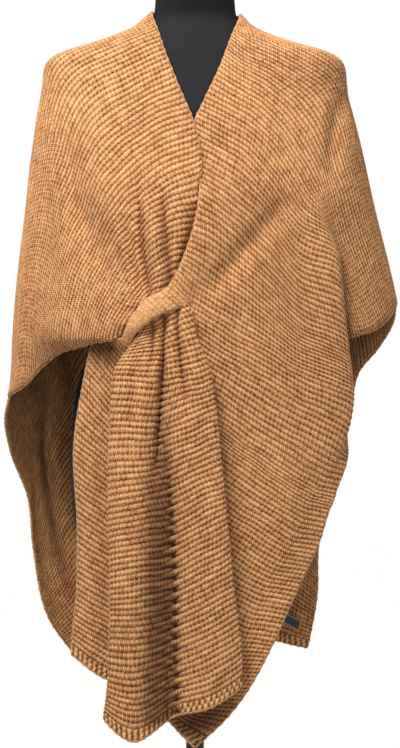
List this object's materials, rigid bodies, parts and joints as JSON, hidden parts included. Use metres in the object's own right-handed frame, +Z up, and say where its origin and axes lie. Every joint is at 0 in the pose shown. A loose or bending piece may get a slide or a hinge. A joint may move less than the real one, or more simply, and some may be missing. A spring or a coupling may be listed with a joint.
{
  "type": "poncho on a dress form",
  "caption": "Chunky knitted open-front poncho with one front pulled through a slit in the other, worn by a limbless dress form on a round-footed stand.",
  "frame": {"origin": "centre of the stand foot's underside, on the floor", "axes": "+Z up, -Y towards the front of the garment, +X to the viewer's right, which is the wearer's left"},
  "size_m": [0.551, 0.3591, 1.5043],
  "materials": {
    "knit": "chunky garter-stitch knit, camel",
    "label": "blank woven label",
    "form": "matt black jersey",
    "metal": "satin black"
  },
  "bodies": {
    "root": {"back_panel": "knit", "pulled_front": "knit", "slotted_front": "knit", "care_label": "label", "form_torso": "form", "form_cap": "metal", "stand_socket": "metal", "stand_pole": "metal", "stand_foot": "metal"}
  },
  "joints": []
}
